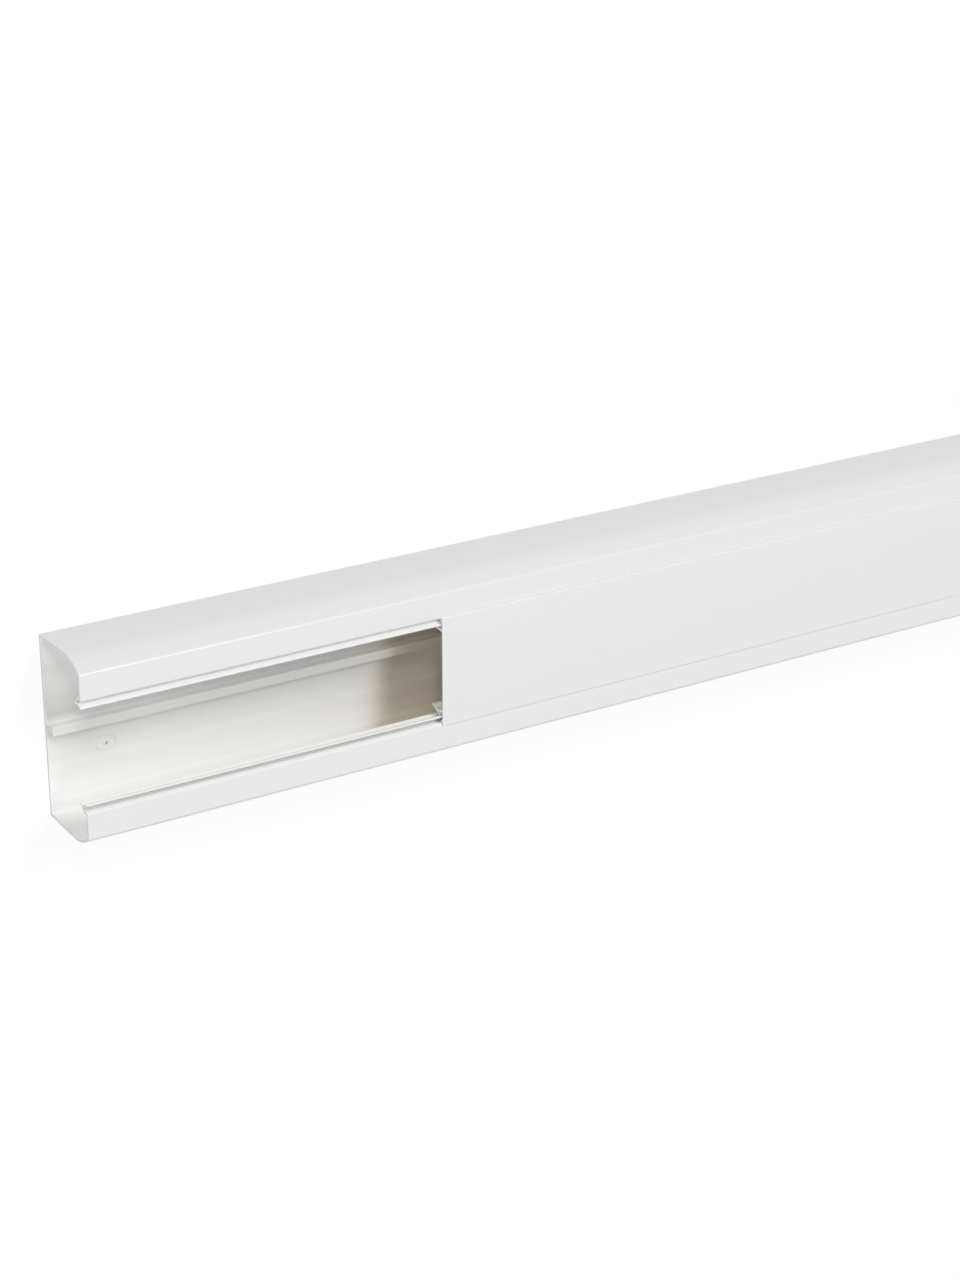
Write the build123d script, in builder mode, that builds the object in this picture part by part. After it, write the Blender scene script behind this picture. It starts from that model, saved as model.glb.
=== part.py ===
"""Surface trunking for power and data cables: one extruded body and its clip-on cover.

The length lies on its back: +X runs along it, +Z is the front normal and the back rests on Z = 0.
The cover is cut short at the -X end, where the open body shows its rail and its clip lips.
"""

from build123d import *

import os
from math import atan2, degrees, hypot

# Body, all sizes in millimetres
LENGTH = 2000.0
BACK_HEIGHT = 105.0
DEPTH = 50.0
WALL = 2.0
SIDE_BULGE = 1.0
SHOULDER_RUN = 18.0
SHOULDER_SETBACK = 6.0
FLANGE_WIDTH = 15.1
FLANGE_BEVEL = 0.9
CREASE_RADIUS = 1.2

# Clip lips along both edges of the front opening, webs of one thickness
LIP_WALL = 1.5
LIP_RECESS = 0.9
GROOVE_DEPTH = 4.1
LIP_ROOT_INSET = 2.25
LIP_ROOT_DROP = 1.4
LIP_TIP_INSET = 4.55
TAIL_INSET = 3.5
TAIL_LENGTH = 1.9

# Rail on the back wall that a partition clips over
RAIL_HEIGHT = 8.6
RAIL_HEAD_WIDTH = 5.6
RAIL_HEAD_THICKNESS = 3.0
RAIL_NECK_WIDTH = 3.2
RAIL_EDGE_RADIUS = 0.6

# Half-sheared knock-outs for the wall screws, each with a pilot hole
KNOCKOUT_COUNT = 6
KNOCKOUT_END_DISTANCE = 33.5
KNOCKOUT_DROP = 17.0
KNOCKOUT_LENGTH = 11.0
KNOCKOUT_WIDTH = 8.0
KNOCKOUT_RISE = 0.6
PILOT_DIAMETER = 2.0

# Clip-on cover
COVER_SETBACK = 216.0
COVER_THICKNESS = 1.2
COVER_OVERLAP = 1.1
COVER_EDGE_RADIUS = 0.25
BEAD_INSET = 0.3
BEAD_WIDTH = 3.3
BEAD_DEPTH = 2.1
LEG_WALL = 1.2
LEG_CLEARANCE = 2.1
LEG_KNEE_DEPTH = 7.0
LEG_KNEE_RADIUS = 3.0
LEG_FLARE = 1.0
LEG_TIP_DEPTH = 10.9
LEG_TIP_INTURN = 2.2
BARB_CLEARANCE = 0.1
BARB_DROP = 1.2
BARB_ROOT_INSET = 0.15

# Places that follow from the sizes, as half-heights and depths in the section
back_edge = BACK_HEIGHT / 2
side_edge = back_edge + SIDE_BULGE
crease = back_edge - SHOULDER_SETBACK
opening_edge = crease - FLANGE_WIDTH
shoulder_depth = DEPTH - SHOULDER_RUN
bevel_corners = (
    (opening_edge, DEPTH),
    (opening_edge + FLANGE_BEVEL, DEPTH),
    (opening_edge, DEPTH - FLANGE_BEVEL),
)

groove_wall = opening_edge + LIP_WALL / 2
groove_top = (groove_wall, DEPTH - LIP_WALL / 2)
groove_foot = (groove_wall, DEPTH - GROOVE_DEPTH - LIP_WALL / 2)
lip_root = (groove_wall - LIP_ROOT_INSET, groove_foot[1] - LIP_ROOT_DROP)
lip_tip = (groove_wall - LIP_TIP_INSET, DEPTH - LIP_RECESS - LIP_WALL / 2)
tail_tip = (groove_wall - TAIL_INSET, lip_root[1] - TAIL_LENGTH)

cover_width = 2 * (opening_edge + COVER_OVERLAP)
cover_length = LENGTH - COVER_SETBACK
bead_outer = cover_width / 2 - BEAD_INSET
bead_corners = (
    (bead_outer, DEPTH),
    (bead_outer - BEAD_DEPTH, DEPTH - BEAD_DEPTH),
    (bead_outer - BEAD_WIDTH, DEPTH),
)
leg_line = lip_tip[0] - LIP_WALL / 2 - LEG_CLEARANCE - LEG_WALL / 2
leg_base = (leg_line, DEPTH + COVER_THICKNESS / 2)
leg_knee = (leg_line + LEG_FLARE, DEPTH - LEG_KNEE_DEPTH)
leg_tip = (leg_knee[0] - LEG_TIP_INTURN, DEPTH - LEG_TIP_DEPTH)
barb_root = (leg_knee[0] - BARB_ROOT_INSET, leg_knee[1])
barb_offset = (LIP_WALL + LEG_WALL) / 2 + BARB_CLEARANCE
lip_length = hypot(lip_tip[0] - lip_root[0], lip_tip[1] - lip_root[1])
lip_inward = (lip_root[0] - lip_tip[0]) / lip_length
lip_forward = (lip_tip[1] - lip_root[1]) / lip_length
barb_tip = (
    lip_tip[0] + BARB_DROP * lip_inward - barb_offset * lip_forward,
    lip_tip[1] - BARB_DROP * lip_forward - barb_offset * lip_inward,
)


def web(start, end, thickness):
    """Add a round-ended web of the section, and its mirror image, to the sketch being built."""
    for side in (1, -1):
        run_y = side * (end[0] - start[0])
        run_z = end[1] - start[1]
        middle = (side * (start[0] + end[0]) / 2, (start[1] + end[1]) / 2)
        with Locations(middle):
            SlotCenterToCenter(hypot(run_y, run_z), thickness, rotation=degrees(atan2(run_z, run_y)))


def bent_web(points, thickness, bend_radius):
    """Add a web that follows a path with rounded bends, and its mirror image, to the sketch being built."""
    for side in (1, -1):
        with BuildLine() as path:
            FilletPolyline(*((side * y, z) for y, z in points), radius=bend_radius)
        trace(path.line, thickness)


def wedge(corners, mode=Mode.ADD):
    """Add a three-cornered area, and its mirror image, to the sketch being built, or take it away."""
    for side in (1, -1):
        Polygon(*((side * y, z) for y, z in corners), align=None, mode=mode)


# Body: a closed shell, opened along the front and given its lips, rail and knock-outs
with BuildPart() as trunking_body:
    with BuildSketch(Plane.YZ.offset(-LENGTH / 2)) as body_section:
        with BuildLine() as outline:
            TangentArc((side_edge, shoulder_depth), (back_edge, 0), tangent=(0, -1))
            TangentArc((side_edge, shoulder_depth), (crease, DEPTH), tangent=(0, 1))
            mirror(about=Plane.YZ)
            Line((-back_edge, 0), (back_edge, 0))
            Line((-crease, DEPTH), (crease, DEPTH))
        make_face()
        fillet(body_section.vertices().group_by(Axis.Y)[-1], CREASE_RADIUS)
        offset(amount=-WALL, mode=Mode.SUBTRACT)
        with Locations((0, DEPTH)):
            Rectangle(2 * groove_wall, 4 * WALL, mode=Mode.SUBTRACT)
        web(groove_top, groove_foot, LIP_WALL)
        web(groove_foot, lip_root, LIP_WALL)
        web(lip_root, lip_tip, LIP_WALL)
        web(lip_root, tail_tip, LIP_WALL)
        wedge(bevel_corners, mode=Mode.SUBTRACT)
        with Locations((0, WALL / 2)):
            Rectangle(
                RAIL_NECK_WIDTH,
                WALL / 2 + RAIL_HEIGHT - RAIL_HEAD_THICKNESS / 2,
                align=(Align.CENTER, Align.MIN),
            )
        with Locations((0, WALL + RAIL_HEIGHT - RAIL_HEAD_THICKNESS / 2)):
            RectangleRounded(RAIL_HEAD_WIDTH, RAIL_HEAD_THICKNESS, RAIL_EDGE_RADIUS)
    extrude(amount=LENGTH)

    knockout_pitch = (LENGTH - 2 * KNOCKOUT_END_DISTANCE) / (KNOCKOUT_COUNT - 1)
    with BuildSketch(Plane.XY.offset(WALL)) as raised_blanks:
        with Locations((0, -KNOCKOUT_DROP)):
            with GridLocations(knockout_pitch, 0, KNOCKOUT_COUNT, 1):
                SlotOverall(KNOCKOUT_LENGTH, KNOCKOUT_WIDTH)
    extrude(amount=KNOCKOUT_RISE)
    with BuildSketch(Plane.XY) as back_recesses:
        add(raised_blanks.sketch_local)
    extrude(amount=KNOCKOUT_RISE, mode=Mode.SUBTRACT)
    with Locations((0, -KNOCKOUT_DROP, WALL + KNOCKOUT_RISE)):
        with GridLocations(knockout_pitch, 0, KNOCKOUT_COUNT, 1):
            Hole(PILOT_DIAMETER / 2, depth=WALL + KNOCKOUT_RISE)

# Cover: a flat plate over the front opening, with a bead along each edge and two barbed legs
with BuildPart() as cover:
    with BuildSketch(Plane.YZ.offset(COVER_SETBACK - LENGTH / 2)) as cover_section:
        with Locations((0, DEPTH)):
            Rectangle(cover_width, COVER_THICKNESS, align=(Align.CENTER, Align.MIN))
        fillet(cover_section.vertices().group_by(Axis.Y)[-1], COVER_EDGE_RADIUS)
        wedge(bead_corners)
        bent_web((leg_base, leg_knee, leg_tip), LEG_WALL, LEG_KNEE_RADIUS)
        web(barb_root, barb_tip, LEG_WALL)
    extrude(amount=cover_length)

trunking_body.part.label = "trunking_body"
cover.part.label = "cover"

os.makedirs("parts", exist_ok=True)
export_step(trunking_body.part, "parts/trunking_body.step")
export_step(cover.part, "parts/cover.step")
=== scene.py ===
"""Looks of a length of white surface trunking: an extruded body and its cover, cut back at one end.

Both pieces are rebuilt at the frame's sizes as finely rounded extrusions, so that their creases, clip
lips and knock-outs catch the light. They lie on a pale floor under plain soft studio lamps.
"""

import logging
import math
from abc import ABC, abstractmethod
from dataclasses import dataclass, field
from enum import Enum
from typing import ClassVar, Iterable, Sequence, Union

import bmesh
import bpy
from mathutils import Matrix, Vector

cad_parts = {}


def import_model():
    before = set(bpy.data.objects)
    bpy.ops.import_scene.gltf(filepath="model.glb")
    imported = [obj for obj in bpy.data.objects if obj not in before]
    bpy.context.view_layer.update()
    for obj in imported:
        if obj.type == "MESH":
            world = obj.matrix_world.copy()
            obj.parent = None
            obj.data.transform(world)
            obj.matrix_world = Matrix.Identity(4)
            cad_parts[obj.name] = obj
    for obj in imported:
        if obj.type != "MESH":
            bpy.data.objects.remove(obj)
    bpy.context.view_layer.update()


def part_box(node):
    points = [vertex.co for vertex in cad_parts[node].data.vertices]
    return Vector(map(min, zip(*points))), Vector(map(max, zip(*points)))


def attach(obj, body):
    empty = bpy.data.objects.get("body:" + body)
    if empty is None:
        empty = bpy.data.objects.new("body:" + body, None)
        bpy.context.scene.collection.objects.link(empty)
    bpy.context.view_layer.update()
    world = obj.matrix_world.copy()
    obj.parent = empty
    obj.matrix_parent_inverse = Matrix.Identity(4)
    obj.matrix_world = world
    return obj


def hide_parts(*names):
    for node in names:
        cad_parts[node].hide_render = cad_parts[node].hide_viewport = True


LOG = logging.getLogger("trunking")

MM = 0.001
SHARP_ANGLE = math.radians(32.0)
SKIN_MARK = "skin"
MIX_COLOUR_INPUTS = (0, 6, 7)
MIX_COLOUR_OUTPUT = 2

Point = tuple[float, float]
Place = tuple[float, float, float]
Colour = tuple[float, float, float, float]
Socket = bpy.types.NodeSocket
Outputs = bpy.types.NodeOutputs
Source = Union[Socket, float, Sequence[float]]


class PlasticSlot(Enum):
    """The record's material slots."""

    BODY = "body_plastic"
    COVER = "cover_plastic"


class Skin(Enum):
    """Where a stretch of the outline is, as the mark that its vertices carry."""

    CREST = -1.0
    OUTER = 0.0
    # The inner skin, which takes a lighter tone as painted light.
    INNER = 1.0
    # Roots of the grooves and of the blanks' feet, which take a painted shade.
    PAINTED_SHADE = 2.0


@dataclass
class Corner:
    """One corner of a section outline, in half-height and depth, with the radius that rounds it."""

    place: Vector
    radius: float
    skin: Skin
    mark: str = ""


@dataclass
class Outline:
    """A closed section outline: its points, the skin that each is on, and the marked ones."""

    points: list[Point]
    skins: list[float]
    marks: dict[str, int]


def left_of(direction: Vector) -> Vector:
    """Returns the unit vector a quarter turn to the left of a unit vector."""
    return Vector((-direction.y, direction.x))


def on_circle(centre: Point, radius: float, angle: float) -> Point:
    """Returns the point of a circle at an angle."""
    return centre[0] + radius * math.cos(angle), centre[1] + radius * math.sin(angle)


def at_depth(one: Vector, other: Vector, depth: float) -> Vector:
    """Returns the point at one depth on the line through two points of a section."""
    return one.lerp(other, (depth - one.y) / (other.y - one.y))


def grey(level: float) -> Colour:
    """Returns an even grey."""
    return level, level, level, 1.0


def web_side(centreline: Sequence[Point], wall: float) -> list[Vector]:
    """Works out the left side of a web of even wall, mitred at its bends and square past its ends.

    Args:
        centreline: Points that the middle of the web passes through.
        wall: Thickness of the web.

    Returns:
        One point of the side for each point of the centreline.
    """
    half = wall / 2
    points = [Vector(point) for point in centreline]
    runs = [(after - before).normalized() for before, after in zip(points, points[1:])]
    side = [points[0] + half * (left_of(runs[0]) - runs[0])]
    for point, before, after in zip(points[1:-1], runs, runs[1:]):
        mitre = (left_of(before) + left_of(after)).normalized()
        side.append(point + mitre * (half / mitre.dot(left_of(before))))
    side.append(points[-1] + half * (left_of(runs[-1]) + runs[-1]))
    return side


@dataclass
class SectionPen:
    """Draws one half of a section that is mirrored about its mid-height, corner by corner."""

    round_step: float = math.radians(11.0)
    fewest_steps: int = 2
    shade_margin: float = 0.08 * MM
    closest: float = 0.01 * MM
    corners: list[Corner] = field(default_factory=list)

    def corner(self, place: Iterable[float], skin: Skin, radius: float = 0.0, mark: str = "") -> None:
        """Adds a corner; the outline gives its index under its mark."""
        self.corners.append(Corner(Vector(place), radius, skin, mark))

    def run(self, skin: Skin, *corners: tuple[Iterable[float], float]) -> None:
        """Adds corners on one skin, each given by its place and the radius that rounds it."""
        for place, radius in corners:
            self.corner(place, skin, radius)

    def arc(self, centre: Point, radius: float, angles: Sequence[float], steps: int, skin: Skin) -> None:
        """Adds an arc as a run of flat corners, from its first end to just short of its second.

        Args:
            centre: Half-height and depth of the arc's centre.
            radius: Radius of the arc.
            angles: Angles of its two ends, in radians from the half-height axis.
            steps: Number of chords.
            skin: Side of the extrusion that the arc is on.
        """
        start, end = angles
        for step in range(steps):
            self.corner(on_circle(centre, radius, start + (end - start) * step / steps), skin)

    def rounded(self, index: int) -> list[Vector]:
        """Rounds one corner.

        Args:
            index: Number of the corner; it has a neighbour on both sides.

        Returns:
            The points that take the corner's place, with one on the flat beside each end of the round.
        """
        corner = self.corners[index]
        back = self.corners[index - 1].place - corner.place
        ahead = self.corners[index + 1].place - corner.place
        reach = min(back.length, ahead.length) / 2
        back.normalize()
        ahead.normalize()
        turn = math.pi - back.angle(ahead)
        if corner.radius == 0.0 or turn < self.round_step:
            return [corner.place]
        setback = min(corner.radius * math.tan(turn / 2), reach)
        radius = setback / math.tan(turn / 2)
        middle = (back + ahead).normalized()
        centre = corner.place + middle * (radius / math.cos(turn / 2))
        first = corner.place + back * setback
        spoke = first - centre
        swing = -turn if left_of(-back).dot(ahead) < 0 else turn
        steps = max(self.fewest_steps, math.ceil(turn / self.round_step))
        points = []
        for step in range(steps + 1):
            angle = swing * step / steps
            turned = Vector((
                spoke.x * math.cos(angle) - spoke.y * math.sin(angle),
                spoke.x * math.sin(angle) + spoke.y * math.cos(angle),
            ))
            points.append(centre + turned)
        if reach > setback + self.shade_margin:
            margin = self.shade_margin
            points = [first + back * margin, *points, points[-1] + ahead * margin]
        return points

    def outline(self) -> Outline:
        """Closes the half that was drawn with its mirror image.

        Returns:
            The whole outline. A marked corner's index is the one on the mirrored half.
        """
        half: list[tuple[Vector, Skin, str]] = []
        last = len(self.corners) - 1
        for index, corner in enumerate(self.corners):
            places = [corner.place] if index in (0, last) else self.rounded(index)
            for place in places:
                if not half or (place - half[-1][0]).length > self.closest:
                    half.append((place, corner.skin, corner.mark))
        mirrored = [(Vector((-place.x, place.y)), skin, mark) for place, skin, mark in half[-2:0:-1]]
        whole = half + mirrored
        marks = {mark: index for index, (_, _, mark) in enumerate(whole) if mark}
        points = [tuple(place) for place, _, _ in whole]
        skins = [skin.value for _, skin, _ in whole]
        return Outline(points, skins, marks)


@dataclass
class MeshDraft:
    """Vertices and faces of one piece, gathered before its mesh is made."""

    vertices: list[Place] = field(default_factory=list)
    skins: list[float] = field(default_factory=list)
    faces: list[list[int]] = field(default_factory=list)

    def loop(self, places: Sequence[Iterable[float]], skins: Sequence[float]) -> list[int]:
        """Adds a closed loop of vertices.

        Args:
            places: Where the vertices are.
            skins: Skin that each of them is on.

        Returns:
            The vertices' numbers.
        """
        first = len(self.vertices)
        self.vertices.extend(tuple(place) for place in places)
        self.skins.extend(skins)
        return list(range(first, len(self.vertices)))

    def bridge(self, one: Sequence[int], other: Sequence[int], gaps: Iterable[int] = ()) -> None:
        """Joins two loops of equal count with four-sided faces.

        Args:
            one: First loop.
            other: Second loop.
            gaps: Numbers of the stretches that stay open.
        """
        count = len(one)
        for index in set(range(count)) - set(gaps):
            after = (index + 1) % count
            self.faces.append([one[index], one[after], other[after], other[index]])

    def surround(self, frame: Sequence[int], loop: Sequence[int]) -> None:
        """Fills the flat between a four-cornered frame and a loop inside it.

        Args:
            frame: The frame's four corners, in turn.
            loop: The loop inside it.
        """
        nearest = []
        for number in loop:
            place = Vector(self.vertices[number])
            nearest.append(min(frame, key=lambda corner: (Vector(self.vertices[corner]) - place).length))
        for index, number in enumerate(loop):
            after = (index + 1) % len(loop)
            face = [number, loop[after], nearest[after]]
            if nearest[index] != nearest[after]:
                face.append(nearest[index])
            self.faces.append(face)

    def make_object(self, name: str) -> bpy.types.Object:
        """Makes the piece, with its faces turned outwards and its eased edges smooth.

        Args:
            name: Name of the piece.

        Returns:
            The new object, in the scene.
        """
        mesh = bpy.data.meshes.new(name)
        mesh.from_pydata(self.vertices, [], self.faces)
        shape = bmesh.new()
        shape.from_mesh(mesh)
        bmesh.ops.recalc_face_normals(shape, faces=shape.faces)
        shape.to_mesh(mesh)
        shape.free()
        mesh.shade_smooth()
        mesh.set_sharp_from_angle(angle=SHARP_ANGLE)
        mark = mesh.attributes.new(SKIN_MARK, "FLOAT", "POINT")
        mark.data.foreach_set("value", self.skins)
        piece = bpy.data.objects.new(name, mesh)
        bpy.context.scene.collection.objects.link(piece)
        return piece


@dataclass
class Extrusion:
    """A straight length of one section, along X, with its two sawn ends."""

    outline: Outline
    start: float
    end: float
    cut_ease: float = 0.12 * MM

    def eased(self) -> list[Point]:
        """Draws the outline in by the ease of a sawn edge.

        Returns:
            The eased outline's points.
        """
        points = [Vector(point) for point in self.outline.points]
        eased = []
        for before, here, after in zip([points[-1], *points], points, [*points[1:], points[0]]):
            run = (after - before).normalized()
            eased.append(tuple(here - left_of(run) * self.cut_ease))
        return eased

    def ring(self, draft: MeshDraft, x: float, points: Sequence[Point]) -> list[int]:
        """Adds the section's outline at one place along the length, and returns its vertices."""
        return draft.loop([(x, y, z) for y, z in points], self.outline.skins)

    def rings(self, draft: MeshDraft, stations: Sequence[float]) -> list[list[int]]:
        """Adds both sawn ends, and rings from one to the other.

        Args:
            draft: Mesh that they go into.
            stations: Places along the length where rings stand between the ends.

        Returns:
            The rings inside the sawn ends, in order; the faces between them are still open.
        """
        eased = self.eased()
        first = self.ring(draft, self.start, eased)
        last = self.ring(draft, self.end, eased)
        draft.faces.append(first)
        draft.faces.append(last)
        places = [self.start + self.cut_ease, *stations, self.end - self.cut_ease]
        rings = [self.ring(draft, x, self.outline.points) for x in places]
        draft.bridge(first, rings[0])
        draft.bridge(rings[-1], last)
        return rings


@dataclass
class ClipLip:
    """The clip along each edge of the front opening: a groove, a lip that leans over it and a tail."""

    wall: float = 1.5 * MM
    recess: float = 0.9 * MM
    groove_depth: float = 4.1 * MM
    root_inset: float = 2.25 * MM
    root_drop: float = 1.4 * MM
    tip_inset: float = 4.55 * MM
    tail_inset: float = 3.5 * MM
    tail_length: float = 1.9 * MM
    root_radius: float = 0.35 * MM
    bevel: float = 0.9 * MM
    bevel_radius: float = 0.2 * MM

    def places(self, opening_edge: float, depth: float) -> dict[str, Point]:
        """Works out the middle of the webs.

        Args:
            opening_edge: Half-height of the front opening.
            depth: Depth of the body.

        Returns:
            The webs' ends by name, as half-height and depth.
        """
        groove = opening_edge + self.wall / 2
        foot = depth - self.groove_depth - self.wall / 2
        root = foot - self.root_drop
        return {
            "top": (groove, depth - self.wall / 2),
            "foot": (groove, foot),
            "root": (groove - self.root_inset, root),
            "tip": (groove - self.tip_inset, depth - self.recess - self.wall / 2),
            "tail": (groove - self.tail_inset, root - self.tail_length),
        }

    def draw(self, pen: SectionPen, opening_edge: float, depth: float, front_wall: float) -> None:
        """Draws the lip, from the flange's inner face round to its front one.

        Args:
            pen: Pen that has come along the flange's inner face.
            opening_edge: Half-height of the front opening.
            depth: Depth of the body.
            front_wall: Thickness of the flange.
        """
        at = self.places(opening_edge, depth)
        half = self.wall / 2
        outer = web_side([at["top"], at["foot"], at["root"], at["tail"]], self.wall)
        inner = web_side([at["tail"], at["root"], at["tip"]], self.wall)
        groove = web_side([at["tip"], at["root"], at["foot"], at["top"]], self.wall)
        pen.run(
            Skin.INNER,
            ((outer[0].x, depth - front_wall), self.root_radius),
            (outer[1], half),
            (outer[2], self.root_radius),
            (outer[3], half),
            (inner[0], half),
            (inner[1], self.root_radius),
        )
        pen.run(Skin.OUTER, (inner[2], half), (groove[0], half))
        # The groove's root takes a painted shade.
        pen.run(Skin.PAINTED_SHADE, (groove[1], self.root_radius), (groove[2], self.root_radius))
        pen.corner((opening_edge, depth - self.bevel), Skin.INNER, self.bevel_radius)
        pen.corner((opening_edge + self.bevel, depth), Skin.OUTER, self.bevel_radius)


@dataclass
class Rail:
    """The rail along the middle of the back wall: a neck with a wider, rounded head."""

    height: float = 8.6 * MM
    head_width: float = 5.6 * MM
    head_thickness: float = 3.0 * MM
    neck_width: float = 3.2 * MM
    edge_radius: float = 0.6 * MM
    root_radius: float = 0.3 * MM

    def draw(self, pen: SectionPen, wall: float) -> None:
        """Draws half of the rail, from the middle of its head down to the back wall.

        Args:
            pen: Pen that starts here.
            wall: Thickness of the back wall.
        """
        top = wall + self.height
        under = top - self.head_thickness
        pen.run(
            Skin.INNER,
            ((0.0, top), 0.0),
            ((self.head_width / 2, top), self.edge_radius),
            ((self.head_width / 2, under), self.edge_radius),
            ((self.neck_width / 2, under), self.root_radius),
            ((self.neck_width / 2, wall), self.root_radius),
        )


@dataclass
class Knockout:
    """A half-sheared oblong blank in the back wall, raised inside, with a pilot hole through it."""

    count: int = 6
    end_distance: float = 33.5 * MM
    drop: float = 17.0 * MM
    length: float = 11.0 * MM
    width: float = 8.0 * MM
    rise: float = 0.6 * MM
    pilot_radius: float = 1.0 * MM
    edge_radius: float = 0.25 * MM
    root_radius: float = 0.2 * MM
    pilot_ease: float = 0.15 * MM
    margin: float = 2.0 * MM
    segments: int = 72
    round_steps: int = 5

    def around(self, x: float, straight: float, radius: float, z: float) -> list[Place]:
        """Works out a loop round the middle of the blank.

        Args:
            x: Place of the blank along the length.
            straight: Half the length of the loop's straight sides; a circle has none.
            radius: Radius of its round ends.
            z: Height of the loop.

        Returns:
            The loop's points, in step with those of the other loops.
        """
        points = []
        for index in range(self.segments):
            angle = 2 * math.pi * (index + 0.5) / self.segments
            side = math.copysign(straight, math.cos(angle))
            points.append((x + side + radius * math.cos(angle), radius * math.sin(angle) - self.drop, z))
        return points

    def oblong(self, x: float, grow: float, z: float) -> list[Place]:
        """Returns a loop that stands so far outside the blank's edge."""
        return self.around(x, (self.length - self.width) / 2, self.width / 2 + grow, z)

    def circle(self, x: float, radius: float, z: float) -> list[Place]:
        """Returns a loop round the pilot hole."""
        return self.around(x, 0.0, radius, z)

    def loops(self, x: float, wall: float) -> list[list[Place]]:
        """Works out the blank's surface, from the inner face over its top and through the pilot hole.

        Args:
            x: Place of the blank along the length.
            wall: Thickness of the back wall.

        Returns:
            Loops from the inner face to the back face.
        """
        top = wall + self.rise
        quarter = [math.pi / 2 * step / self.round_steps for step in range(self.round_steps + 1)]
        loops = [self.oblong(x, self.root_radius + self.pilot_ease, wall)]
        for angle in quarter:
            grow = self.root_radius * (1 - math.sin(angle))
            loops.append(self.oblong(x, grow, wall + self.root_radius * (1 - math.cos(angle))))
        for angle in quarter:
            grow = self.edge_radius * (math.cos(angle) - 1)
            loops.append(self.oblong(x, grow, top - self.edge_radius * (1 - math.sin(angle))))
        loops.append(self.oblong(x, -self.edge_radius - self.pilot_ease, top))
        loops.append(self.circle(x, self.pilot_radius + 2 * self.pilot_ease, top))
        for angle in quarter:
            radius = self.pilot_radius + self.pilot_ease * (1 - math.sin(angle))
            loops.append(self.circle(x, radius, top - self.pilot_ease * (1 - math.cos(angle))))
        loops.append(self.circle(x, self.pilot_radius, self.rise))
        loops.append(self.oblong(x, 0.0, self.rise))
        loops.append(self.oblong(x, 0.0, 0.0))
        return loops

    def carve(self, draft: MeshDraft, x: float, wall: float, inner: list[int], back: list[int]) -> None:
        """Builds one blank between the windows left for it in the two faces of the back wall.

        Args:
            draft: Mesh that it goes into.
            x: Place of the blank along the length.
            wall: Thickness of the back wall.
            inner: Four corners of the window in the inner face.
            back: Four corners of the window in the back face.
        """
        loops = []
        for number, places in enumerate(self.loops(x, wall)):
            # The blank's rounded foot takes a painted shade.
            skin = Skin.PAINTED_SHADE if 0 < number <= self.round_steps else Skin.INNER
            loops.append(draft.loop(places, [skin.value] * self.segments))
        draft.surround(inner, loops[0])
        for one, other in zip(loops, loops[1:]):
            draft.bridge(one, other)
        draft.surround(back, loops[-1])


class TrunkingPiece(ABC):
    """An extruded piece of the trunking, which takes the place of one solid of the frame."""

    solid: ClassVar[str]
    slot: ClassVar[PlasticSlot]

    @abstractmethod
    def build(self) -> bpy.types.Object:
        """Builds and returns the piece."""

    def dress(self, piece: bpy.types.Object, finish: "PlasticFinish") -> None:
        """Gives the piece its finish and sets it on the frame in place of its solid.

        Args:
            piece: The piece as it was built.
            finish: Finish that it takes.
        """
        piece.data.materials.append(finish.material())
        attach(piece, "root")
        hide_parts(self.solid)


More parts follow.
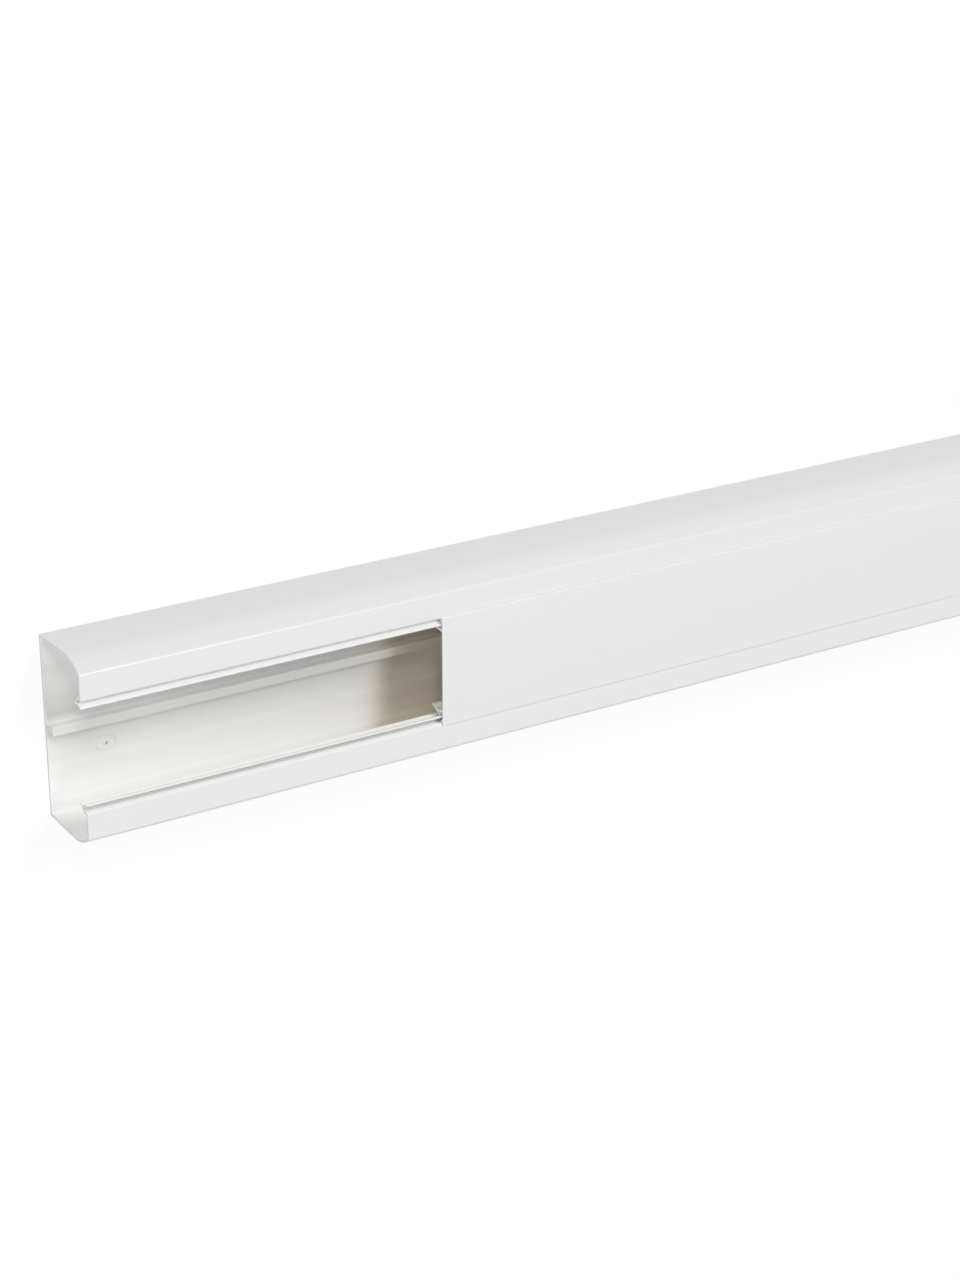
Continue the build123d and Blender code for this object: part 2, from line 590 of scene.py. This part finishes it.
@dataclass
class TrunkingBody(TrunkingPiece):
    """The extruded body: a back wall with its rail, two bulging sides, flanges and clip lips."""

    solid: ClassVar[str] = "trunking_body"
    slot: ClassVar[PlasticSlot] = PlasticSlot.BODY
    start: float
    end: float
    side_edge: float
    depth: float
    wall: float = 2.0 * MM
    side_bulge: float = 1.0 * MM
    shoulder_run: float = 18.0 * MM
    shoulder_setback: float = 6.0 * MM
    flange_width: float = 15.1 * MM
    crease_radius: float = 2.2 * MM
    inner_radius: float = 0.4 * MM
    back_radius: float = 0.25 * MM
    shoulder_steps: int = 28
    side_steps: int = 10
    lip: ClipLip = field(default_factory=ClipLip)
    rail: Rail = field(default_factory=Rail)
    knockout: Knockout = field(default_factory=Knockout)

    @property
    def back_edge(self) -> float:
        """Half-height of the back."""
        return self.side_edge - self.side_bulge

    @property
    def crease(self) -> float:
        """Half-height of the crease between shoulder and flange."""
        return self.back_edge - self.shoulder_setback

    @property
    def opening_edge(self) -> float:
        """Half-height of the front opening."""
        return self.crease - self.flange_width

    def draw_sides(self, pen: SectionPen, skin: Skin, inset: float) -> None:
        """Draws the bulging side and the shoulder, on either skin of the wall.

        Args:
            pen: Pen that comes from the back on the inner skin, and from the front on the outer one.
            skin: Side of the wall.
            inset: How far the skin lies inside the outer one.
        """
        turn_depth = self.depth - self.shoulder_run
        reach = self.shoulder_setback + self.side_bulge
        side_radius = (turn_depth**2 + self.side_bulge**2) / (2 * self.side_bulge)
        shoulder_radius = (self.shoulder_run**2 + reach**2) / (2 * reach)
        side_centre = (self.side_edge - side_radius, turn_depth)
        shoulder_centre = (self.side_edge - shoulder_radius, turn_depth)
        side_radius -= inset
        shoulder_radius -= inset
        low = -math.asin((turn_depth - inset) / side_radius)
        high = math.asin((self.shoulder_run - inset) / shoulder_radius)
        back_corner = on_circle(side_centre, side_radius, low)
        front_corner = on_circle(shoulder_centre, shoulder_radius, high)
        if skin is Skin.INNER:
            pen.corner(back_corner, skin, self.inner_radius)
            start = low * (1 - 1 / self.side_steps)
            pen.arc(side_centre, side_radius, (start, 0.0), self.side_steps - 1, skin)
            pen.arc(shoulder_centre, shoulder_radius, (0.0, high), self.shoulder_steps, skin)
            pen.corner(front_corner, skin, self.inner_radius)
        else:
            pen.corner(front_corner, Skin.CREST, self.crease_radius)
            start = high * (1 - 1 / self.shoulder_steps)
            pen.arc(shoulder_centre, shoulder_radius, (start, 0.0), self.shoulder_steps - 1, skin)
            pen.arc(side_centre, side_radius, (0.0, low), self.side_steps, skin)
            pen.corner(back_corner, skin, self.back_radius)

    def outline(self) -> Outline:
        """Draws the body's section, from the rail out to the lip and back along the outside.

        Returns:
            The section, marked where the knock-outs' windows in its two faces begin.
        """
        pen = SectionPen()
        window = self.knockout.width / 2 + self.knockout.margin
        near, far = self.knockout.drop - window, self.knockout.drop + window
        self.rail.draw(pen, self.wall)
        pen.corner((near, self.wall), Skin.INNER)
        pen.corner((far, self.wall), Skin.INNER, mark="inner_window")
        self.draw_sides(pen, Skin.INNER, self.wall)
        self.lip.draw(pen, self.opening_edge, self.depth, self.wall)
        self.draw_sides(pen, Skin.OUTER, 0.0)
        pen.corner((far, 0.0), Skin.OUTER)
        pen.corner((near, 0.0), Skin.OUTER, mark="back_window")
        pen.corner((0.0, 0.0), Skin.OUTER)
        return pen.outline()

    def build(self) -> bpy.types.Object:
        """Builds the body with its knock-outs, one in every second stretch between the rings.

        Returns:
            The piece.
        """
        outline = self.outline()
        draft = MeshDraft()
        blank = self.knockout
        pitch = (self.end - self.start - 2 * blank.end_distance) / (blank.count - 1)
        places = [self.start + blank.end_distance + pitch * index for index in range(blank.count)]
        reach = blank.length / 2 + blank.margin
        stations = [x + side * reach for x in places for side in (-1, 1)]
        rings = Extrusion(outline, self.start, self.end).rings(draft, stations)
        windows = (outline.marks["inner_window"], outline.marks["back_window"])
        for index, (one, other) in enumerate(zip(rings, rings[1:])):
            holed = index % 2 == 1
            draft.bridge(one, other, windows if holed else ())
            if holed:
                inner, back = ([one[at], one[at + 1], other[at + 1], other[at]] for at in windows)
                blank.carve(draft, places[index // 2], self.wall, inner, back)
        return draft.make_object("body_shell")


@dataclass
class Cover(TrunkingPiece):
    """The clip-on cover: a flat plate with a bead along each edge, on two barbed legs."""

    solid: ClassVar[str] = "cover"
    slot: ClassVar[PlasticSlot] = PlasticSlot.COVER
    start: float
    end: float
    half_width: float
    face: float
    lip_tip: Vector
    lip_root: Vector
    lip_wall: float
    thickness: float = 1.2 * MM
    edge_radius: float = 0.6 * MM
    under_edge_radius: float = 0.15 * MM
    bead_inset: float = 0.3 * MM
    bead_width: float = 3.3 * MM
    bead_depth: float = 2.1 * MM
    bead_radius: float = 0.25 * MM
    leg_wall: float = 1.2 * MM
    leg_clearance: float = 2.1 * MM
    knee_depth: float = 7.0 * MM
    knee_radius: float = 3.0 * MM
    flare: float = 1.0 * MM
    tip_depth: float = 10.9 * MM
    tip_inturn: float = 2.2 * MM
    barb_clearance: float = 0.1 * MM
    barb_drop: float = 1.2 * MM
    root_radius: float = 0.25 * MM

    def places(self) -> dict[str, Point]:
        """Works out the middle of the leg's webs.

        Returns:
            The webs' ends by name, as half-height and depth.
        """
        seat = self.face - self.thickness
        line = self.lip_tip.x - self.lip_wall / 2 - self.leg_clearance - self.leg_wall / 2
        knee = Vector((line + self.flare, seat - self.knee_depth))
        tip = Vector((knee.x - self.tip_inturn, seat - self.tip_depth))
        tip += (knee - tip).normalized() * self.leg_wall / 2
        along = (self.lip_root - self.lip_tip).normalized()
        away = (self.lip_wall + self.leg_wall) / 2 + self.barb_clearance
        barb = self.lip_tip + along * self.barb_drop - left_of(along) * away
        return {
            "base": (line, seat + self.thickness / 2),
            "knee": tuple(knee),
            "tip": tuple(tip),
            "barb": tuple(barb),
        }

    def outline(self) -> Outline:
        """Draws the cover's section, from the middle of its face round its edge, bead and leg.

        Returns:
            The section.
        """
        pen = SectionPen()
        at = self.places()
        half = self.leg_wall / 2
        seat = self.face - self.thickness
        outer = web_side([at["base"], at["knee"], at["barb"]], self.leg_wall)
        under = web_side([at["barb"], at["knee"], at["tip"]], self.leg_wall)
        inner = web_side([at["tip"], at["knee"], at["base"]], self.leg_wall)
        pen.corner((0.0, self.face), Skin.OUTER)
        pen.corner((self.half_width, self.face), Skin.CREST, self.edge_radius)
        pen.corner((self.half_width, seat), Skin.OUTER, self.under_edge_radius)
        bead = self.half_width - self.bead_inset
        pen.run(
            Skin.INNER,
            ((bead, seat), 0.0),
            ((bead - self.bead_depth, seat - self.bead_depth), self.bead_radius),
            ((bead - self.bead_width, seat), self.root_radius),
            (at_depth(outer[0], outer[1], seat), self.root_radius),
            (outer[1], self.root_radius),
            (outer[2], half),
            (under[0], half),
            (under[1], self.root_radius),
            (under[2], half),
            (inner[0], half),
            (inner[1], self.knee_radius - half),
            (at_depth(inner[1], inner[2], seat), self.root_radius),
            ((0.0, seat), 0.0),
        )
        return pen.outline()

    def build(self) -> bpy.types.Object:
        """Builds the cover.

        Returns:
            The piece.
        """
        draft = MeshDraft()
        rings = Extrusion(self.outline(), self.start, self.end).rings(draft, ())
        draft.bridge(*rings)
        return draft.make_object("cover_plate")


@dataclass
class NodeSketch:
    """Adds nodes to one tree and joins them."""

    tree: bpy.types.NodeTree

    def feed(self, socket: Socket, source: Source) -> None:
        """Joins an input to a source, or sets its value.

        Args:
            socket: The input.
            source: Socket to join it to, or the value it takes.
        """
        if isinstance(source, Socket):
            self.tree.links.new(source, socket)
        else:
            socket.default_value = source

    def feed_in_order(self, sockets: Iterable[Socket], sources: Iterable[Source]) -> None:
        """Feeds inputs in turn."""
        for socket, source in zip(sockets, sources):
            self.feed(socket, source)

    def feed_by_name(self, node: bpy.types.Node, sources: dict[str, Source]) -> None:
        """Feeds a node's inputs by their names, in which underscores stand for spaces."""
        for name, source in sources.items():
            self.feed(node.inputs[name.replace("_", " ")], source)

    def add(self, kind: str, **sources: Source) -> bpy.types.Node:
        """Adds a node.

        Args:
            kind: The node's type, after the prefix that all shader nodes share.
            sources: What its inputs take, by their names.

        Returns:
            The node.
        """
        node = self.tree.nodes.new(f"ShaderNode{kind}")
        self.feed_by_name(node, sources)
        return node

    def add_sum(self, kind: str, operation: str, terms: Iterable[Source]) -> Outputs:
        """Adds a sum.

        Args:
            kind: The node's type, after the prefix that all shader nodes share.
            operation: Kind of sum.
            terms: What it takes, in order.

        Returns:
            The node's outputs.
        """
        node = self.add(kind)
        node.operation = operation
        self.feed_in_order(node.inputs, terms)
        return node.outputs

    def math(self, operation: str, *terms: Source) -> Socket:
        """Returns the result of a sum of values."""
        return self.add_sum("Math", operation, terms)["Value"]

    def vector(self, operation: str, *terms: Source) -> Outputs:
        """Returns the results of a sum of vectors: a vector and a value."""
        return self.add_sum("VectorMath", operation, terms)

    def place(self) -> Socket:
        """Returns the place on the piece."""
        return self.add("TexCoord").outputs["Object"]

    def noise(self, place: Source, per_metre: Source, detail: float) -> Socket:
        """Returns a smooth noise over the piece."""
        return self.add("TexNoise", Vector=place, Scale=per_metre, Detail=detail).outputs["Fac"]

    def remap(
        self, value: Source, low: Source = 0.0, high: Source = 1.0, start: float = 0.0, end: float = 1.0
    ) -> Socket:
        """Returns a value whose range from low to high is changed to start to end, and held there."""
        node = self.add("MapRange", Value=value, From_Min=low, From_Max=high, To_Min=start, To_Max=end)
        return node.outputs["Result"]

    def blend(self, share: Source, one: Source, other: Source) -> Socket:
        """Adds a blend of two colours.

        Args:
            share: Share of the second.
            one: First colour.
            other: Second colour.

        Returns:
            The blended colour.
        """
        node = self.add("Mix")
        node.data_type = "RGBA"
        self.feed_in_order([node.inputs[index] for index in MIX_COLOUR_INPUTS], (share, one, other))
        return node.outputs[MIX_COLOUR_OUTPUT]

    def effect(self, effect: "Effect", **sources: Source) -> Outputs:
        """Adds a shared effect.

        Args:
            effect: The effect.
            sources: What its inputs take, by their names.

        Returns:
            Its outputs.
        """
        node = self.add("Group")
        node.node_tree = effect.group()
        self.feed_by_name(node, sources)
        return node.outputs


class Effect(ABC):
    """A pattern over the surface, kept as one node group for all the finishes that use it."""

    name: ClassVar[str]
    inlets: ClassVar[dict[str, float]]
    outlets: ClassVar[tuple[str, ...]]

    @abstractmethod
    def draw(self, sketch: NodeSketch, inlets: Outputs) -> dict[str, Socket]:
        """Draws the pattern.

        Args:
            sketch: Sketch of the group's tree.
            inlets: The group's inputs, by name.

        Returns:
            What the group puts out, by name.
        """

    def group(self) -> bpy.types.NodeTree:
        """Draws the effect's node group, unless it is there already.

        Returns:
            The node group.
        """
        known = bpy.data.node_groups.get(self.name)
        if known:
            return known
        tree = bpy.data.node_groups.new(self.name, "ShaderNodeTree")
        for name, value in self.inlets.items():
            socket = tree.interface.new_socket(name, in_out="INPUT", socket_type="NodeSocketFloat")
            socket.default_value = value
        for name in self.outlets:
            tree.interface.new_socket(name, in_out="OUTPUT", socket_type="NodeSocketFloat")
        sketch = NodeSketch(tree)
        inlets = tree.nodes.new("NodeGroupInput").outputs
        results = tree.nodes.new("NodeGroupOutput").inputs
        for name, source in self.draw(sketch, inlets).items():
            sketch.feed(results[name], source)
        return tree


class SkinZones(Effect):
    """Where the skin is inside the section, where painted shade goes in a groove's root or round a
    blank's foot, on a rubbed crest, and where a painted warm shade goes under the cover.
    """

    name = "skin_zones"
    inlets = {"Cover start": 0.0, "Fade": 0.0}
    outlets = ("Inside", "Painted shade", "Burnished", "Shade under cover")
    # Marks above this take the painted shade of the groove roots and blank feet.
    painted_shade_from: float = 1.85
    burnish_from: float = -0.97
    # Heights between which the painted shade under the cover fades in, deeper than the lips.
    shade_under_cover_depths: tuple[float, float] = (46.0 * MM, 38.0 * MM)

    def draw(self, sketch: NodeSketch, inlets: Outputs) -> dict[str, Socket]:
        """Draws the zones.

        Args:
            sketch: Sketch of the group's tree.
            inlets: The group's inputs, by name.

        Returns:
            A mask for each zone.
        """
        attribute = sketch.add("Attribute")
        attribute.attribute_name = SKIN_MARK
        mark = attribute.outputs["Fac"]
        place = sketch.add("SeparateXYZ", Vector=sketch.place()).outputs
        # The painted warm shade under the cover fades in along the length up to the cover's start, and
        # only deeper than the lips.
        fade_start = sketch.math("SUBTRACT", inlets["Cover start"], inlets["Fade"])
        past_cut = sketch.remap(place["X"], fade_start, inlets["Cover start"])
        behind_lips = sketch.remap(place["Z"], *self.shade_under_cover_depths)
        return {
            "Inside": sketch.remap(mark, Skin.OUTER.value, Skin.INNER.value),
            "Painted shade": sketch.remap(mark, self.painted_shade_from, Skin.PAINTED_SHADE.value),
            "Burnished": sketch.remap(mark, self.burnish_from, Skin.CREST.value),
            "Shade under cover": sketch.math("MULTIPLY", past_cut, behind_lips),
        }


class DieLines(Effect):
    """Faint lines that the die leaves along the length, and the wider streaks among them."""

    name = "die_lines"
    inlets = {"Lines per metre": 420.0}
    outlets = ("Lines", "Streaks")
    stretch: float = 0.004
    line_detail: float = 3.0
    streaks_per_line: float = 0.5
    streak_detail: float = 1.0
    streak_range: tuple[float, float] = (0.35, 0.65)

    def draw(self, sketch: NodeSketch, inlets: Outputs) -> dict[str, Socket]:
        """Draws the lines.

        Args:
            sketch: Sketch of the group's tree.
            inlets: The group's inputs, by name.

        Returns:
            The height of the lines, and a mask of the streaks.
        """
        drawn_out = sketch.vector("MULTIPLY", sketch.place(), (self.stretch, 1.0, 1.0))["Vector"]
        streaks_per_metre = sketch.math("MULTIPLY", inlets["Lines per metre"], self.streaks_per_line)
        streaks = sketch.noise(drawn_out, streaks_per_metre, self.streak_detail)
        return {
            "Lines": sketch.noise(drawn_out, inlets["Lines per metre"], self.line_detail),
            "Streaks": sketch.remap(streaks, *self.streak_range),
        }


class FineGrain(Effect):
    """The fine grain of a satin plastic skin."""

    name = "fine_grain"
    inlets = {"Grains per metre": 2600.0}
    outlets = ("Grain",)
    detail: float = 2.0

    def draw(self, sketch: NodeSketch, inlets: Outputs) -> dict[str, Socket]:
        """Returns the height of the grain."""
        return {"Grain": sketch.noise(sketch.place(), inlets["Grains per metre"], self.detail)}


class SawnEnd(Effect):
    """The sawn ends: where they are, and the arcs that the blade's teeth leave on them."""

    name = "sawn_end"
    inlets = {"Arcs per metre": 2200.0}
    outlets = ("Sawn", "Arcs")
    facing_range: tuple[float, float] = (0.75, 0.95)
    blade_centre: Place = (0.0, 0.16, 0.11)
    arc_detail: float = 2.0

    def draw(self, sketch: NodeSketch, inlets: Outputs) -> dict[str, Socket]:
        """Draws the ends.

        Args:
            sketch: Sketch of the group's tree.
            inlets: The group's inputs, by name.

        Returns:
            A mask of the ends, and the height of the arcs.
        """
        normal = sketch.add("NewGeometry").outputs["Normal"]
        along = sketch.vector("DOT_PRODUCT", normal, (1.0, 0.0, 0.0))["Value"]
        flat = sketch.vector("MULTIPLY", sketch.place(), (0.0, 1.0, 1.0))["Vector"]
        radius = sketch.vector("DISTANCE", flat, self.blade_centre)["Value"]
        arcs = sketch.add("TexNoise", Scale=1.0, Detail=self.arc_detail)
        arcs.noise_dimensions = "1D"
        sketch.feed(arcs.inputs["W"], sketch.math("MULTIPLY", radius, inlets["Arcs per metre"]))
        return {
            "Sawn": sketch.remap(sketch.math("ABSOLUTE", along), *self.facing_range),
            "Arcs": arcs.outputs["Fac"],
        }


class HandlingMarks(Effect):
    """What the workshop leaves on the skin: slow smudges, and a few specks of dust and swarf."""

    name = "handling_marks"
    inlets = {"Smudges per metre": 16.0, "Specks per metre": 55.0, "Speck share": 0.05}
    outlets = ("Smudges", "Specks")
    smudge_detail: float = 4.0
    smudge_range: tuple[float, float] = (0.3, 0.7)
    speck_reach: float = 0.022
    speck_fade: float = 1.6

    def draw(self, sketch: NodeSketch, inlets: Outputs) -> dict[str, Socket]:
        """Draws the marks.

        Args:
            sketch: Sketch of the group's tree.
            inlets: The group's inputs, by name.

        Returns:
            A mask of the smudges and one of the specks.
        """
        place = sketch.place()
        smudges = sketch.noise(place, inlets["Smudges per metre"], self.smudge_detail)
        cells = sketch.add("TexVoronoi", Vector=place, Scale=inlets["Specks per metre"]).outputs
        lot = sketch.add("SeparateColor", Color=cells["Color"]).outputs
        chosen = sketch.math("LESS_THAN", lot["Red"], inlets["Speck share"])
        reach = sketch.math("MULTIPLY", lot["Green"], self.speck_reach)
        rim = sketch.math("MULTIPLY", reach, self.speck_fade)
        return {
            "Smudges": sketch.remap(smudges, *self.smudge_range),
            "Specks": sketch.math("MULTIPLY", chosen, sketch.remap(cells["Distance"], rim, reach)),
        }


@dataclass(frozen=True)
class PlasticFinish:
    """Satin white rigid plastic as it leaves the die, with sawn ends, and painted light and shade:
    lighter inside, a warm shade under the cover, dark in the grooves' roots, darker on the sawn ends.
    """

    name: str
    covered_from: float
    burnish_index: float
    outer_tone: Colour = (0.865, 0.866, 0.875, 1.0)
    # Lighter than the outer tone: painted light inside the pieces.
    inner_lit_tone: Colour = (0.962, 0.960, 0.952, 1.0)
    # Warm painted shade under the cover.
    shade_under_cover_tone: Colour = (0.985, 0.925, 0.800, 1.0)
    shade_under_cover_fade: float = 32.0 * MM
    streak_tone: Colour = (0.890, 0.882, 0.858, 1.0)
    # The die streaks, darker and warmer under the cover as painted shade.
    streak_in_shade_tone: Colour = (0.830, 0.760, 0.640, 1.0)
    streak_share: float = 0.5
    # Painted shade in the grooves' roots and round the blanks' feet.
    painted_shade_tone: Colour = (0.640, 0.625, 0.590, 1.0)
    # The sawn ends' grey, darkened as painted shade.
    sawn_shaded_tone: Colour = (0.700, 0.696, 0.688, 1.0)
    speck_tone: Colour = (0.300, 0.280, 0.240, 1.0)
    lines_per_metre: float = 420.0
    line_depth: float = 0.007 * MM
    grain_depth: float = 0.0012 * MM
    arc_depth: float = 0.03 * MM
    gloss_range: tuple[float, float] = (0.29, 0.35)
    burnish_roughness: float = 0.3
    sawn_roughness: float = 0.65

    def material(self) -> bpy.types.Material:
        """Makes the finish.

        Returns:
            Its material.
        """
        material = bpy.data.materials.new(self.name)
        material.use_nodes = True
        sketch = NodeSketch(material.node_tree)
        shader = material.node_tree.nodes["Principled BSDF"].inputs
        zones = sketch.effect(SkinZones(), Cover_start=self.covered_from, Fade=self.shade_under_cover_fade)
        die = sketch.effect(DieLines(), Lines_per_metre=self.lines_per_metre)
        grain = sketch.effect(FineGrain())["Grain"]
        saw = sketch.effect(SawnEnd())
        marks = sketch.effect(HandlingMarks())

        inside, shade_under_cover = zones["Inside"], zones["Shade under cover"]
        # The inside takes the lighter tone, a painted light.
        tone = sketch.blend(inside, self.outer_tone, self.inner_lit_tone)
        # Painted warm shade under the cover.
        tone = sketch.blend(sketch.math("MULTIPLY", inside, shade_under_cover), tone, self.shade_under_cover_tone)
        streaked = sketch.math("MULTIPLY", inside, self.streak_share)
        # Streaks under the cover take the painted shade.
        streak = sketch.blend(shade_under_cover, self.streak_tone, self.streak_in_shade_tone)
        tone = sketch.blend(sketch.math("MULTIPLY", die["Streaks"], streaked), tone, streak)
        # Painted shade in the grooves' roots and round the blanks' feet.
        tone = sketch.blend(zones["Painted shade"], tone, self.painted_shade_tone)
        # Sawn ends darkened as painted shade.
        tone = sketch.blend(saw["Sawn"], tone, self.sawn_shaded_tone)
        sketch.feed(shader["Base Color"], sketch.blend(marks["Specks"], tone, self.speck_tone))

        smooth, dull = self.gloss_range
        gloss = sketch.remap(marks["Smudges"], start=smooth, end=dull)
        sawn_gloss = sketch.math("MULTIPLY", saw["Sawn"], self.sawn_roughness)
        sketch.feed(shader["Roughness"], sketch.math("MAXIMUM", gloss, sawn_gloss))
        sketch.feed(shader["Coat Weight"], zones["Burnished"])
        sketch.feed(shader["Coat Roughness"], self.burnish_roughness)
        sketch.feed(shader["Coat IOR"], self.burnish_index)

        height = sketch.math("MULTIPLY", die["Lines"], self.line_depth)
        height = sketch.math("MULTIPLY_ADD", grain, self.grain_depth, height)
        arcs = sketch.math("MULTIPLY", saw["Arcs"], saw["Sawn"])
        height = sketch.math("MULTIPLY_ADD", arcs, self.arc_depth, height)
        bump = sketch.add("Bump", Height=height, Distance=1.0)
        sketch.feed(shader["Normal"], bump.outputs["Normal"])
        return material


@dataclass(frozen=True)
class SoftLamp:
    """A soft rectangular lamp; its level is how bright it makes a white face that is square to it."""

    name: str
    direction: tuple[float, float, float]
    size: tuple[float, float]
    level: float
    distance: float = 6.0

    def hang(self, target: Vector) -> None:
        """Hangs the lamp.

        Args:
            target: Place that it shines on.
        """
        data = bpy.data.lights.new(self.name, "AREA")
        data.shape = "RECTANGLE"
        data.size, data.size_y = self.size
        data.energy = self.level * math.pi**2 * self.distance**2
        lamp = bpy.data.objects.new(self.name, data)
        direction = Vector(self.direction).normalized()
        lamp.location = target + direction * self.distance
        lamp.rotation_euler = direction.to_track_quat("Z", "Y").to_euler()
        bpy.context.scene.collection.objects.link(lamp)


@dataclass
class Studio:
    """Camera, pale floor, and soft lamps with a little light all round."""

    camera_place: Place = (-0.51418, 0.59387, 1.25787)
    camera_turn: tuple[float, float, float] = (-22.076, -32.066, -0.160)
    lens: float = 77.717
    sensor: float = 36.0
    floor_reach: float = 9.0
    floor_gap: float = 0.1 * MM
    floor_glow: float = 0.885
    floor_shade: float = 0.135
    floor_bounce: float = 0.60
    around: float = 0.08
    shone_on: float = 0.3
    lamps: tuple[SoftLamp, ...] = (
        SoftLamp("key", (0.28, 0.66, 1.0), (1.15, 3.3), 0.495),
        SoftLamp("upper_left_fill", (-0.30, 0.80, 0.52), (0.9, 0.6), 0.11),
        SoftLamp("left_fill", (-0.95, 0.05, 0.30), (7.5, 3.4), 0.52),
        SoftLamp("lower_fill", (-0.10, -0.60, 0.75), (3.0, 2.0), 0.30),
        SoftLamp("left_key", (-0.36, 0.62, 0.70), (0.5, 0.5), 0.09),
    )

    def add_camera(self, left_end: float) -> None:
        """Puts up the camera.

        Args:
            left_end: Place of the trunking's near end along X.
        """
        data = bpy.data.cameras.new("camera")
        data.lens = self.lens
        data.sensor_width = self.sensor
        camera = bpy.data.objects.new("camera", data)
        camera.location = Vector(self.camera_place) + Vector((left_end, 0.0, 0.0))
        camera.rotation_euler = [math.radians(angle) for angle in self.camera_turn]
        bpy.context.scene.collection.objects.link(camera)
        bpy.context.scene.camera = camera

    def add_world(self) -> None:
        """Sets the light all round, which the camera sees as white."""
        world = bpy.data.worlds.new("studio")
        world.use_nodes = True
        sketch = NodeSketch(world.node_tree)
        background = world.node_tree.nodes["Background"].inputs
        sketch.feed(background["Color"], grey(1.0))
        sketch.feed(background["Strength"], sketch.remap(self.seen_directly(sketch), start=self.around))
        bpy.context.scene.world = world

    @staticmethod
    def seen_directly(sketch: NodeSketch) -> Socket:
        """Adds a test for rays that show the backdrop, in sight or in a reflection.

        Args:
            sketch: Sketch of the tree that needs the test.

        Returns:
            A socket that is 1 for those rays.
        """
        path = sketch.add("LightPath").outputs
        mirrored = sketch.math("MAXIMUM", path["Is Glossy Ray"], path["Is Transmission Ray"])
        return sketch.math("MAXIMUM", path["Is Camera Ray"], mirrored)

    def floor_material(self) -> bpy.types.Material:
        """Makes a white floor that keeps a soft shadow and bounces light like paper.

        Returns:
            The floor's material.
        """
        material = bpy.data.materials.new("studio_floor")
        material.use_nodes = True
        sketch = NodeSketch(material.node_tree)
        nodes = material.node_tree.nodes
        nodes.remove(nodes["Principled BSDF"])
        paper = sketch.add("BsdfDiffuse", Color=grey(self.floor_bounce)).outputs["BSDF"]
        shade = sketch.add("BsdfDiffuse", Color=grey(self.floor_shade)).outputs["BSDF"]
        glow = sketch.add("Emission", Strength=self.floor_glow).outputs["Emission"]
        lit = sketch.add("AddShader")
        sketch.feed_in_order(lit.inputs, (shade, glow))
        mix = sketch.add("MixShader", Fac=self.seen_directly(sketch))
        sketch.feed_in_order(mix.inputs[1:], (paper, lit.outputs["Shader"]))
        sketch.feed(nodes["Material Output"].inputs["Surface"], mix.outputs["Shader"])
        return material

    def add_floor(self) -> None:
        """Lays the floor under the trunking."""
        reach, low = self.floor_reach, -self.floor_gap
        corners = [
            (-reach, -reach, low),
            (reach, -reach, low),
            (reach, reach, low),
            (-reach, reach, low),
        ]
        mesh = bpy.data.meshes.new("floor")
        mesh.from_pydata(corners, [], [(0, 1, 2, 3)])
        mesh.materials.append(self.floor_material())
        floor = bpy.data.objects.new("floor", mesh)
        bpy.context.scene.collection.objects.link(floor)

    def build(self, left_end: float) -> None:
        """Sets the whole studio up.

        Args:
            left_end: Place of the trunking's near end along X.
        """
        self.add_camera(left_end)
        for lamp in self.lamps:
            lamp.hang(Vector((left_end + self.shone_on, 0.0, 0.0)))
        self.add_world()
        self.add_floor()
        bpy.context.scene.view_settings.view_transform = "Standard"


def main() -> None:
    """Builds the body, the cover and the studio."""
    logging.basicConfig(level=logging.INFO, format="%(name)s %(message)s")
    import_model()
    low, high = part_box("trunking_body")
    body = TrunkingBody(start=low.x, end=high.x, side_edge=high.y, depth=high.z)
    lip = body.lip.places(body.opening_edge, body.depth)
    low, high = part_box("cover")
    cover = Cover(
        start=low.x,
        end=high.x,
        half_width=high.y,
        face=high.z,
        lip_tip=Vector(lip["tip"]),
        lip_root=Vector(lip["root"]),
        lip_wall=body.lip.wall,
    )
    body_white = PlasticFinish("body_white", cover.start, burnish_index=1.58)
    cover_white = PlasticFinish("cover_white", cover.start, burnish_index=1.42)
    for part, finish in ((body, body_white), (cover, cover_white)):
        piece = part.build()
        part.dress(piece, finish)
        LOG.info("%s: %d faces for %s", piece.name, len(piece.data.polygons), part.solid)

    Studio().build(body.start)
    LOG.info("studio: camera, floor and lamps")


if __name__ == "__main__":
    main()
